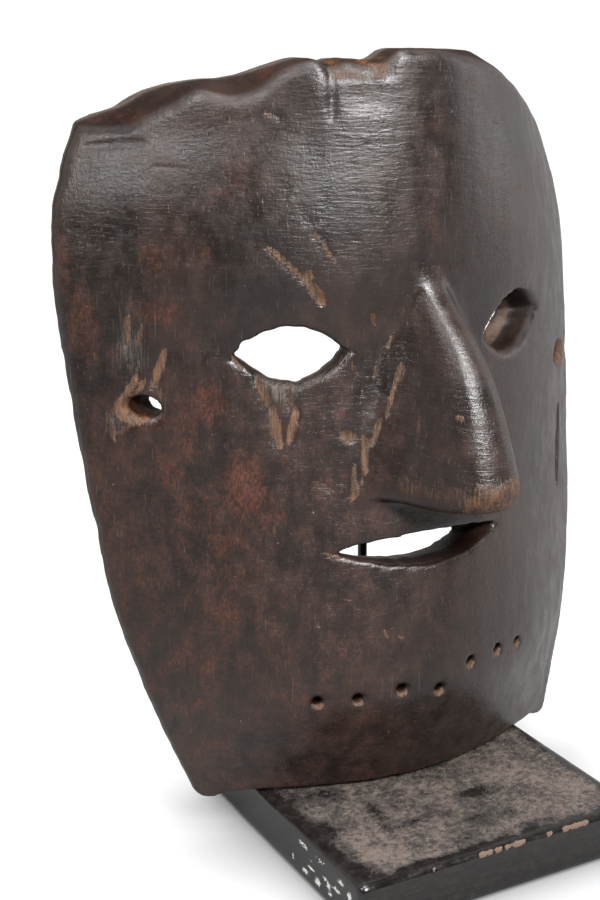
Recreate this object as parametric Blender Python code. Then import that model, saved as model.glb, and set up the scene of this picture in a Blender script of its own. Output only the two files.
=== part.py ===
"""Carved wooden dance mask standing on a lacquered display base.

The mask is a thick curved plate of wood with an open back: almond eye holes, a wedge nose,
a slit mouth, a row of whisker holes and two cord holes. Its foot stands on the base, and its
inner forehead leans on a padded crossbar carried by a thin steel post.

Frame: origin at the centre of the base's underside, +Z up, the face looks along -Y and +X is
at the viewer's right. Lengths below are millimetres and become metres in to_metres.
"""
import math

import bmesh
import bpy
from mathutils import Matrix, Vector

MM = 0.001
GAP = 0.3                     # clearance between neighbouring pieces

# Display base
BASE_SIDE = 106.4             # the square block's width and depth
BASE_TOP = 17.1               # height of the block's top face
BASE_EDGE = 2.2               # radius along the block's edges
FELT_THICKNESS = 0.8
FELT_INSET = 4.0              # the felt stops this far inside the block's outline

# Steel post, its bush and the crossbar
WIRE_RADIUS = 1.6             # 3.2 mm wire
POST_Y = 37.5                 # the post stands behind the block's centre
POST_FOOT = 4.2               # height of the post's lower end, inside the bush
BUSH_RADIUS = 3.2
BUSH_FOOT = 3.6
POST_BEND_START = 168.0       # height where the post leaves the vertical
CROSSBAR_HEIGHT = 205.0       # height of the crossbar's centre line
CROSSBAR_HALF_SPAN = 44.0
CROSSBAR_STANDOFF = 5.2       # centre line behind the wood's inner face
PAD_RADIUS = 3.4
PAD_LENGTH = 15.0
PAD_OVERHANG = 1.5            # the pads run this far past the crossbar's ends
BORE_OVERRUN = 4.0            # how far the bush's bore is cut past the block's top

# Mask: heights z are measured from the base's top face
RIM_FOOT_Y = 27.5             # the flat back rim leans back along one plane
RIM_SLOPE = 0.205
RIM_BAND = 10.0               # width of the flat back rim
WALL = 16.0                   # thickness of the plate at its centre
FRONT_PROFILE = [(0, -0.5), (18, -7.5), (37, -13.5), (60, -11.5), (86, -7.5), (120, -2.5),
                 (151, 1.5), (173, -1.5), (195, -1.5), (219, 0.5), (242, 3.5)]
HALF_WIDTH = [(-4, 72.0), (28, 83.2), (55, 90.2), (80, 94.0), (130, 98.2), (170, 100),
              (192, 97.6), (206, 93.3), (219, 88.7), (242, 86)]
SIDE_SHIFT = [(-4, -1.6), (30, -0.6), (70, 0.8), (195, 1.3), (219, 0)]   # added at -X, taken at +X
BULGE_POWER = [(0, 1.85), (86, 1.67), (150, 1.9), (242, 1.8)]
TOP_EDGE = [(-90, 219.0), (-84, 220.5), (-76, 223.3), (-69, 228.6), (-61, 231.3), (-48, 233.4),
            (-40, 236.5), (-24, 238.8), (-15, 238.0), (-6, 241.0), (10, 241.0), (25, 240.2),
            (35, 237), (50, 231), (64, 225.5), (76, 221), (90, 217)]
BOTTOM_EDGE = [(-73, -3.4), (-67, -2.0), (-60, 0.4), (-14, 1.3), (12, 1.2), (60, 0.4),
               (67, -2.4), (75, -4.8)]                  # the corners hang past the base

# Nose: it stands a little to the right of the middle
NOSE_HEIGHTS = [102.5, 105.5, 110, 116, 125, 135, 146, 156, 164, 172]
NOSE_CENTRE = [(100, 5.5), (120, 5), (140, 4), (160, 2), (173, 0)]
NOSE_HALF_WIDTH = [(101, 31.5), (104, 31), (116, 28), (130, 24.5), (142, 21), (152, 17),
                   (163, 12.5), (175, 8.5)]
NOSE_RIDGE = [(102, -31.5), (105, -35), (110, -37.3), (116, -35.8), (125, -33), (135, -29.3),
              (146, -24.2), (156, -17), (163, -10.3), (169, -5), (174, -2)]
NOSE_SECTION = [(0, 0), (0.15, 0.035), (0.3, 0.14), (0.42, 0.30), (0.55, 0.55), (0.7, 0.75),
                (0.85, 0.885), (1, 1)]          # share of the half-width, share of the fall
NOSE_FOOT_SINK = 1.0          # the nose's foot lies this far inside the plate
NOSE_BURIED = WALL / 3        # the nose's flat back lies this far inside the plate
NOSE_HOLLOW = ((0.0, 16.0, 138.0), (13.0, 15.0, 34.0))   # centre and half-axes at the back

# Openings
LEFT_EYE = {"inner": (-26.0, 150.5), "outer": (-58.5, 150.0), "top": 158.8, "bottom": 140.6,
            "turn": -30.0, "close": 0.0}
RIGHT_EYE = {"inner": (27.0, 151.0), "outer": (61.0, 154.5), "top": 163.0, "bottom": 143.0,
             "turn": 50.0, "close": 0.022}      # close: share of its width lost per millimetre
EYE_DROP = math.radians(9.0)  # the eye holes slope down into the hollow
EYE_REACH = (-12.0, 30.0)     # the cutters run this far before and behind the outer face
MOUTH_OUTSIDE = {"left": -33.0, "right": 31.5, "top": 90.4, "bottom": 79.9}
MOUTH_INSIDE = {"left": -29.0, "right": 21.0, "top": 88.5, "bottom": 78.6}
MOUTH_CORNER_HEIGHT = 86.0
MOUTH_REACH = (16.0, 8.0)     # the slit's cutter starts before the outer face and ends past the inner
MOUTH_TAPER_END = 1.2         # it goes on narrowing to this share of the wood's thickness
WHISKER_RADIUS = 1.7
WHISKER_DEPTH = 9.0
WHISKER_HOLES = [(-39.5, 36.6), (-27.5, 37.3), (-13.3, 39.5), (0.0, 37.5), (13.3, 43.8),
                 (27.5, 43.4), (39.5, 41.7)]
CORD_HOLE = (83.6, 132.6)     # distance from the centre plane, and height
CORD_RADIUS = 3.4
CORD_TURN = math.radians(41.0)
CORD_DEPTH = 20.0
DRILL_CLEARANCE = 6.0         # how far a drill's cutter starts in front of the face

# How finely the shapes are divided
COLUMNS = 22                  # across the plate
ROWS = 22                     # up the plate
NOSE_STEPS = 8                # from the nose's ridge to each foot
WIRE_SIDES = 12
DRILL_SIDES = 12
BUSH_SIDES = 20
BEND_STEPS = 8
CROSSBAR_STEPS = 18
PAD_STEPS = 4


def to_metres(x, y, z):
    return Vector((x * MM, y * MM, z * MM))


def clear_scene():
    for old in list(bpy.data.objects):
        bpy.data.objects.remove(old, do_unlink=True)


def material(name, colour, roughness, metallic=0.0):
    made = bpy.data.materials.new(name)
    made.use_nodes = True
    shader = made.node_tree.nodes["Principled BSDF"]
    shader.inputs["Base Color"].default_value = (*colour, 1.0)
    shader.inputs["Roughness"].default_value = roughness
    shader.inputs["Metallic"].default_value = metallic
    return made


def make_object(name, shape, finish=None, sharp_angle=35.0):
    """Turn a finished bmesh into an object with outward faces and smooth shading."""
    bmesh.ops.recalc_face_normals(shape, faces=shape.faces)
    mesh = bpy.data.meshes.new(name)
    shape.to_mesh(mesh)
    shape.free()
    mesh.shade_smooth()
    mesh.set_sharp_from_angle(angle=math.radians(sharp_angle))
    made = bpy.data.objects.new(name, mesh)
    bpy.context.collection.objects.link(made)
    if finish:
        mesh.materials.append(finish)
    return made


def along(stations, at):
    """Smooth curve through the stations: cubic Hermite with neighbour slopes."""
    if at <= stations[0][0]:
        return stations[0][1]
    if at >= stations[-1][0]:
        return stations[-1][1]
    index = next(i for i in range(len(stations) - 1) if at <= stations[i + 1][0])

    def slope(i):
        low = stations[max(i - 1, 0)]
        high = stations[min(i + 1, len(stations) - 1)]
        return (high[1] - low[1]) / (high[0] - low[0])

    x0, y0 = stations[index]
    x1, y1 = stations[index + 1]
    span = x1 - x0
    t = (at - x0) / span
    return ((2 * t ** 3 - 3 * t ** 2 + 1) * y0 + (t ** 3 - 2 * t ** 2 + t) * span * slope(index)
            + (3 * t ** 2 - 2 * t ** 3) * y1 + (t ** 3 - t ** 2) * span * slope(index + 1))


def rim_y(z):
    return RIM_FOOT_Y + RIM_SLOPE * z


def half_width(z, side):
    return along(HALF_WIDTH, z) - math.copysign(1, side) * along(SIDE_SHIFT, z)


def face_y(x, z, depth=0.0, band=0.0):
    """The plate's face in plan: a bulge from the rim to the centre line.

    depth and band move it in from the outer face to the hollow's face.
    """
    centre = along(FRONT_PROFILE, z) + depth
    reach = min(abs(x) / (half_width(z, x) - band), 1.0)
    return centre + (rim_y(z) - centre) * reach ** along(BULGE_POWER, z)


def inner_y(x, z):
    return face_y(x, z, WALL, RIM_BAND)


def cut_with(target, cutter, operation="DIFFERENCE"):
    cutter.hide_render = True
    cutter.display_type = "WIRE"
    step = target.modifiers.new(cutter.name, "BOOLEAN")
    step.operation = operation
    step.solver = "EXACT"
    step.object = cutter


def bridge(shape, rings, closed=False):
    """Join rings of equal length with quads; open ends get caps."""
    count = len(rings[0])
    pairs = list(zip(rings, rings[1:]))
    if closed:
        pairs.append((rings[-1], rings[0]))
    for low, high in pairs:
        for i in range(count):
            j = (i + 1) % count
            shape.faces.new((low[i], low[j], high[j], high[i]))
    if not closed:
        shape.faces.new(list(reversed(rings[0])))
        shape.faces.new(rings[-1])


def swept_rings(shape, path, radius, sides):
    """Circles of vertices square to a path that has no twist."""
    rings = []
    side = None
    for i, point in enumerate(path):
        ahead = path[min(i + 1, len(path) - 1)]
        behind = path[max(i - 1, 0)]
        forward = (ahead - behind).normalized()
        guess = side if side else forward.orthogonal()
        side = (guess - forward * guess.dot(forward)).normalized()
        up = forward.cross(side)
        ring = []
        for k in range(sides):
            angle = 2 * math.pi * k / sides
            ring.append(shape.verts.new(point + radius * MM * (math.cos(angle) * side
                                                               + math.sin(angle) * up)))
        rings.append(ring)
    return rings


def round_bar(name, path, radius, finish):
    shape = bmesh.new()
    bridge(shape, swept_rings(shape, path, radius, WIRE_SIDES))
    return make_object(name, shape, finish)


def sleeve(name, path, outer, inner, finish, sides=WIRE_SIDES):
    """A tube, open at both ends."""
    shape = bmesh.new()
    outside = swept_rings(shape, path, outer, sides)
    inside = swept_rings(shape, path, inner, sides)
    bridge(shape, outside + inside[::-1], closed=True)
    return make_object(name, shape, finish)


def lens_outline(left, right, top, bottom, points=7):
    """Two arcs from corner to corner, as (x, z) pairs round the loop."""
    outline = []
    for rise, order in ((top, range(points)), (bottom, range(points, 0, -1))):
        for i in order:
            t = i / points
            corner_z = left[1] + (right[1] - left[1]) * t
            swell = 4 * t * (1 - t)
            middle = (left[1] + right[1]) / 2
            outline.append((left[0] + (right[0] - left[0]) * t,
                            corner_z + (rise - middle) * swell))
    return outline


# ---- Mask ---------------------------------------------------------------------------------

def plate_row(shape, share):
    """One closed loop round the plate, share of the way from its foot to its top edge."""
    foot = BOTTOM_EDGE[0][1]
    rim_level = foot + (TOP_EDGE[0][1] - foot) * share
    ring = []
    for band, order in ((0.0, 1), (RIM_BAND, -1)):
        for j in range(COLUMNS + 1):
            u = order * (2 * j / COLUMNS - 1)
            x = u * (half_width(rim_level, u) - band)
            low = along(BOTTOM_EDGE, x)
            z = low + (along(TOP_EDGE, x) - low) * share
            face = inner_y(x, z) if band else face_y(x, z)
            y = rim_y(z) if abs(u) == 1 else face
            ring.append(shape.verts.new(to_metres(x, y, BASE_TOP + z)))
    return ring


def plate():
    """The curved plate: outer face, flat back rim and hollow in every row."""
    shape = bmesh.new()
    rows = [plate_row(shape, i / ROWS) for i in range(ROWS + 1)]
    count = len(rows[0])
    for low, high in zip(rows, rows[1:]):
        for i in range(count):
            j = (i + 1) % count
            shape.faces.new((low[i], low[j], high[j], high[i]))
    for row in (rows[0], rows[-1]):
        for i in range(COLUMNS):
            shape.faces.new((row[i], row[i + 1], row[count - 2 - i], row[count - 1 - i]))
    return shape


def nose():
    """A wedge with a rounded ridge and flared foot; its back is buried in the plate."""
    shape = bmesh.new()
    rings = []
    for z in NOSE_HEIGHTS:
        half = along(NOSE_HALF_WIDTH, z)
        centre = along(NOSE_CENTRE, z)
        ridge = along(NOSE_RIDGE, z)
        ring = []
        for j in range(-NOSE_STEPS, NOSE_STEPS + 1):
            t = j / NOSE_STEPS
            foot = face_y(centre + math.copysign(half, t), z) + NOSE_FOOT_SINK
            y = ridge + (foot - ridge) * along(NOSE_SECTION, abs(t))
            ring.append(shape.verts.new(to_metres(centre + t * half, y, BASE_TOP + z)))
        for side in (1, -1):
            x = centre + side * half
            buried = face_y(x, z) + NOSE_BURIED
            ring.append(shape.verts.new(to_metres(x, buried, BASE_TOP + z)))
        rings.append(ring)
    bridge(shape, rings)
    bmesh.ops.triangulate(shape, faces=[f for f in shape.faces if len(f.verts) > 4])
    return make_object("nose_block", shape)


def nose_hollow():
    """The gouged recess behind the nose."""
    centre, half_axes = NOSE_HOLLOW
    shape = bmesh.new()
    placed = Matrix.Translation(to_metres(centre[0], centre[1], BASE_TOP + centre[2]))
    bmesh.ops.create_uvsphere(shape, u_segments=12, v_segments=8, radius=MM,
                              matrix=placed @ Matrix.Diagonal((*half_axes, 1.0)))
    return make_object("nose_hollow", shape)


def prism(shape, outline, turn, front, back, drop=0.0, close=0.0):
    """Push an (x, z) outline on the outer face through the plate.

    The axis is turned sideways and slopes down; front and back are distances along it.
    The hole narrows towards the outline's first point as it goes in.
    """
    into = Vector((-math.sin(turn), math.cos(turn), -math.tan(drop)))
    fixed = outline[0][0]
    rings = []
    for reach in (front, back):
        ring = []
        for x, z in outline:
            start = to_metres(x, face_y(x, z), BASE_TOP + z)
            start.x -= (x - fixed) * close * reach * MM
            ring.append(shape.verts.new(start + reach * MM * into))
        rings.append(ring)
    bridge(shape, rings)


def openings():
    """Every hole through or into the plate, as one set of separate cutters."""
    shape = bmesh.new()
    for eye in (LEFT_EYE, RIGHT_EYE):
        outline = lens_outline(eye["inner"], eye["outer"], eye["top"], eye["bottom"])
        prism(shape, outline, math.radians(eye["turn"]), *EYE_REACH, EYE_DROP, eye["close"])
    mouth_slot(shape)
    for x, z in WHISKER_HOLES:
        drill(shape, x, z, WHISKER_RADIUS, 0.0, WHISKER_DEPTH)
    for side in (-1, 1):
        drill(shape, side * CORD_HOLE[0], CORD_HOLE[1], CORD_RADIUS, side * CORD_TURN, CORD_DEPTH)
    return make_object("openings", shape)


def drill(shape, x, z, radius, turn, depth):
    """A straight hole entered from the outer face."""
    circle = []
    for k in range(DRILL_SIDES):
        angle = 2 * math.pi * k / DRILL_SIDES
        circle.append((x + radius * math.cos(turn) * math.cos(angle),
                       z + radius * math.sin(angle)))
    prism(shape, circle, turn, -DRILL_CLEARANCE, depth)


def mouth_slot(shape):
    """A lens-shaped slit that narrows towards the hollow, more so at its right end."""
    outside_y = face_y(MOUTH_OUTSIDE["right"], MOUTH_CORNER_HEIGHT)
    inside_y = inner_y(0, MOUTH_CORNER_HEIGHT)
    rings = []
    for y in (outside_y - MOUTH_REACH[0], outside_y, inside_y, inside_y + MOUTH_REACH[1]):
        inward = (y - outside_y) / (inside_y - outside_y)
        inward = min(max(inward, 0.0), MOUTH_TAPER_END)
        size = {key: MOUTH_OUTSIDE[key] + (MOUTH_INSIDE[key] - MOUTH_OUTSIDE[key]) * inward
                for key in MOUTH_OUTSIDE}
        corner = (size["top"] + size["bottom"]) / 2
        corner += (MOUTH_CORNER_HEIGHT - corner) * (1 - min(inward, 1.0))
        outline = lens_outline((size["left"], corner), (size["right"], corner),
                               size["top"], size["bottom"], points=8)
        rings.append([shape.verts.new(to_metres(x, y, BASE_TOP + z)) for x, z in outline])
    bridge(shape, rings)


def mask_shell(wood):
    shell = make_object("mask_shell", plate(), wood)
    cut_with(shell, nose(), "UNION")
    cut_with(shell, nose_hollow())
    cut_with(shell, openings())
    return shell


# ---- Base, post and crossbar --------------------------------------------------------------

def box(shape, half_x, half_y, low, high):
    centre = to_metres(0, 0, (low + high) / 2)
    size = Matrix.Diagonal((2 * half_x * MM, 2 * half_y * MM, (high - low) * MM, 1.0))
    return bmesh.ops.create_cube(shape, size=1.0, matrix=Matrix.Translation(centre) @ size)


def base_block(lacquer):
    shape = bmesh.new()
    half = BASE_SIDE / 2
    box(shape, half, half, FELT_THICKNESS + GAP, BASE_TOP)
    floor = (FELT_THICKNESS + GAP) * MM
    upper_edges = [e for e in shape.edges if any(v.co.z > floor + MM for v in e.verts)]
    bmesh.ops.bevel(shape, geom=upper_edges, offset=BASE_EDGE * MM, segments=3, profile=0.5,
                    affect="EDGES")
    block = make_object("base_block", shape, lacquer)
    bore = bmesh.new()
    path = [to_metres(0, POST_Y, BUSH_FOOT - GAP), to_metres(0, POST_Y, BASE_TOP + BORE_OVERRUN)]
    bridge(bore, swept_rings(bore, path, BUSH_RADIUS + GAP, BUSH_SIDES))
    cut_with(block, make_object("bush_bore", bore))
    return block


def base_felt(felt):
    shape = bmesh.new()
    half = BASE_SIDE / 2 - FELT_INSET
    box(shape, half, half, 0, FELT_THICKNESS)
    return make_object("base_felt", shape, felt)


def post_bush(brass):
    """A plain tube set in the block; the post turns and lifts out of it."""
    path = [to_metres(0, POST_Y, BUSH_FOOT), to_metres(0, POST_Y, BASE_TOP - GAP)]
    return sleeve("post_bush", path, BUSH_RADIUS, WIRE_RADIUS + GAP, brass, BUSH_SIDES)


def crossbar_point(x):
    z = CROSSBAR_HEIGHT - BASE_TOP
    return to_metres(x, inner_y(x, z) + CROSSBAR_STANDOFF, CROSSBAR_HEIGHT)


def crossbar_path(start, end, steps):
    return [crossbar_point(start + (end - start) * i / steps) for i in range(steps + 1)]


def post_rod(steel):
    """Upright wire that bends forward to the crossbar's back."""
    tip = crossbar_point(0) + to_metres(0, 2 * WIRE_RADIUS + GAP, 0)
    start = to_metres(0, POST_Y, POST_BEND_START)
    corner = Vector((0, start.y, tip.z))
    path = [to_metres(0, POST_Y, POST_FOOT)]
    for i in range(BEND_STEPS + 1):
        t = i / BEND_STEPS
        path.append((1 - t) ** 2 * start + 2 * t * (1 - t) * corner + t ** 2 * tip)
    return round_bar("post_rod", path, WIRE_RADIUS, steel)


def crossbar(steel):
    return round_bar("crossbar", crossbar_path(-CROSSBAR_HALF_SPAN, CROSSBAR_HALF_SPAN,
                                               CROSSBAR_STEPS), WIRE_RADIUS, steel)


def crossbar_pads(rubber):
    for name, side in (("pad_left", -1), ("pad_right", 1)):
        outer_end = side * (CROSSBAR_HALF_SPAN + PAD_OVERHANG)
        inner_end = side * (CROSSBAR_HALF_SPAN - PAD_LENGTH)
        path = crossbar_path(inner_end, outer_end, PAD_STEPS)
        sleeve(name, path, PAD_RADIUS, WIRE_RADIUS + GAP, rubber)


def build():
    clear_scene()
    wood = material("old_dark_wood", (0.045, 0.026, 0.018), 0.42)
    lacquer = material("black_lacquer", (0.012, 0.012, 0.013), 0.22)
    felt = material("black_felt", (0.02, 0.02, 0.022), 0.95)
    brass = material("brass", (0.55, 0.40, 0.18), 0.35, 1.0)
    steel = material("blackened_steel", (0.03, 0.03, 0.032), 0.45, 0.8)
    rubber = material("black_rubber", (0.02, 0.02, 0.02), 0.7)
    base_block(lacquer)
    base_felt(felt)
    post_bush(brass)
    post_rod(steel)
    crossbar(steel)
    crossbar_pads(rubber)
    mask_shell(wood)


build()
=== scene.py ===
"""Carved wooden dance mask on a lacquered display base: fine meshes, finishes, light and camera.

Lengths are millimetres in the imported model's frame until make_object() turns them into metres.
The mask's own heights z are measured from the base's top face, and v is the depth behind the
plate's outer face, so that the mask's field is worked out in (x, v, z).
"""
import math

import bmesh
import bpy
import numpy as np
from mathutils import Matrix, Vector


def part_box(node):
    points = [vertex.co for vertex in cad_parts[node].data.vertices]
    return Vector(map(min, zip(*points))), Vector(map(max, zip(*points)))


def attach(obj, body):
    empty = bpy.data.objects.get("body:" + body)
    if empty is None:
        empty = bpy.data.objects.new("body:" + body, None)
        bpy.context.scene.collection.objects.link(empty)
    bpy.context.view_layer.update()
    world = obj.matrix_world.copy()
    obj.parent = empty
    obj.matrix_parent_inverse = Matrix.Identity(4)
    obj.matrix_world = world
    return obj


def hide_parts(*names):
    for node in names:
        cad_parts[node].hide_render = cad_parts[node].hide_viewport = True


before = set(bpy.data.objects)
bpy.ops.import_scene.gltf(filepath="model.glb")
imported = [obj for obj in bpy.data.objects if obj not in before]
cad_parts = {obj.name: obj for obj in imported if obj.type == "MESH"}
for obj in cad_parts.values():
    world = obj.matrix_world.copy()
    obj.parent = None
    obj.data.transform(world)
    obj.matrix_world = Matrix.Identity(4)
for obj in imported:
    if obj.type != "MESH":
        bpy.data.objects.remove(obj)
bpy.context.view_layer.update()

MM = 0.001


def box_mm(node):
    """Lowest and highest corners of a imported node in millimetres."""
    low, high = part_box(node)
    return np.array(low) / MM, np.array(high) / MM


BLOCK_LOW, BLOCK_HIGH = box_mm("base_block")
BASE_TOP = BLOCK_HIGH[2]

# Mask plate: stations of (height, value) or (x, value)
RIM_FOOT_Y = 27.5
RIM_SLOPE = 0.205
RIM_BAND = 10.0
WALL = 16.0
SIDE_FACE = (5.0, 3.3)        # the outer face would meet the rim plane this far out, at -X and +X
FRONT_PROFILE = [(0, -0.5), (18, -7.5), (37, -13.5), (60, -11.5), (86, -7.5), (120, -2.5),
                 (151, 1.5), (173, -1.5), (195, -1.5), (219, 0.5), (242, 3.5)]
HALF_WIDTH = [(-4, 72.0), (28, 83.2), (55, 90.2), (80, 94.0), (130, 98.2), (170, 100),
              (192, 97.6), (206, 93.3), (219, 88.7), (242, 86)]
SIDE_SHIFT = [(-4, -1.6), (30, -0.6), (70, 0.8), (195, 1.3), (219, 0)]
BULGE_POWER = [(0, 1.85), (86, 1.67), (150, 1.9), (242, 1.8)]
TOP_EDGE = [(-90, 219.0), (-84, 220.5), (-76, 223.3), (-69, 228.6), (-61, 231.3), (-48, 233.4),
            (-40, 236.5), (-32, 239), (-29, 237.4), (-24, 238.8), (-15, 238.2), (-12.5, 238.6),
            (-7.5, 241.4), (10, 241.0), (25, 240.2), (35, 237), (50, 231), (64, 225.5),
            (76, 221), (90, 217)]
TOP_CHAMFER = [(-90, 2.5), (-85, 4), (-76, 5.0), (-67, 6.0), (-61, 3), (-53, 5.5), (-46, 5.0),
               (-40, 2.5), (-33, 2.5), (-28, 2.0), (-12, 2.0), (-8, 1.5), (4, 1.5), (14, 3.2),
               (25, 4.6), (40, 3), (60, 2.5), (90, 2.5)]
BOTTOM_EDGE = [(-73, -3.4), (-67, -2.0), (-60, 0.4), (-14, 1.3), (12, 1.2), (60, 0.4),
               (67, -2.4), (75, -4.8)]

# Nose: it stands a little to the right of the middle
NOSE_BASE_HEIGHT = 102.2
NOSE_BRIDGE_HEIGHT = 173.0
NOSE_CENTRE = [(100, 5.5), (120, 5), (140, 4), (160, 2), (173, 0)]
NOSE_HALF_WIDTH = [(101, 31.5), (104, 31), (116, 28), (130, 24.5), (142, 21), (152, 17),
                   (163, 12.5), (175, 8.5)]
NOSE_RIDGE = [(102, -31.5), (105, -35), (110, -37.3), (116, -35.8), (125, -33), (135, -29.3),
              (146, -24.2), (156, -17), (163, -10.3), (169, -5), (174, -2)]
NOSE_SECTION = [(0, 0), (0.15, 0.02), (0.3, 0.09), (0.42, 0.24), (0.55, 0.52), (0.7, 0.74),
                (0.85, 0.885), (1, 1), (1.2, 1.1)]   # share of half-width, share of the fall
NOSE_HOLLOW = ((0.0, 16.0, 138.0), (13.0, 15.0, 34.0))

# Openings
LEFT_EYE = {"left": (-58.5, 150.0), "right": (-26.0, 150.5), "top": 158.8, "bottom": 140.6,
            "turn": -30.0, "slope": -0.9, "close": 0.0}
RIGHT_EYE = {"left": (27.0, 151.0), "right": (61.0, 154.5), "top": 163.0, "bottom": 143.0,
             "turn": 42.0, "slope": 0.9, "close": 0.62}
EYE_DROP = 9.0
MOUTH_OUTSIDE = {"left": -33.0, "right": 31.5, "top": 90.4, "bottom": 79.9}
MOUTH_INSIDE = {"left": -29.0, "right": 21.0, "top": 88.5, "bottom": 78.6}
MOUTH_CORNER_HEIGHT = 86.0
WHISKER_HOLES = [(-39.5, 36.6), (-27.5, 37.3), (-13.3, 39.5), (0.0, 37.5), (13.3, 43.8),
                 (27.5, 43.4), (39.5, 41.7)]
WHISKER_RADIUS = 1.7
WHISKER_DEPTH = 9.0
CORD_HOLE = (83.6, 132.6)
CORD_RADIUS = 3.4
CORD_TURN = 41.0

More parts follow.
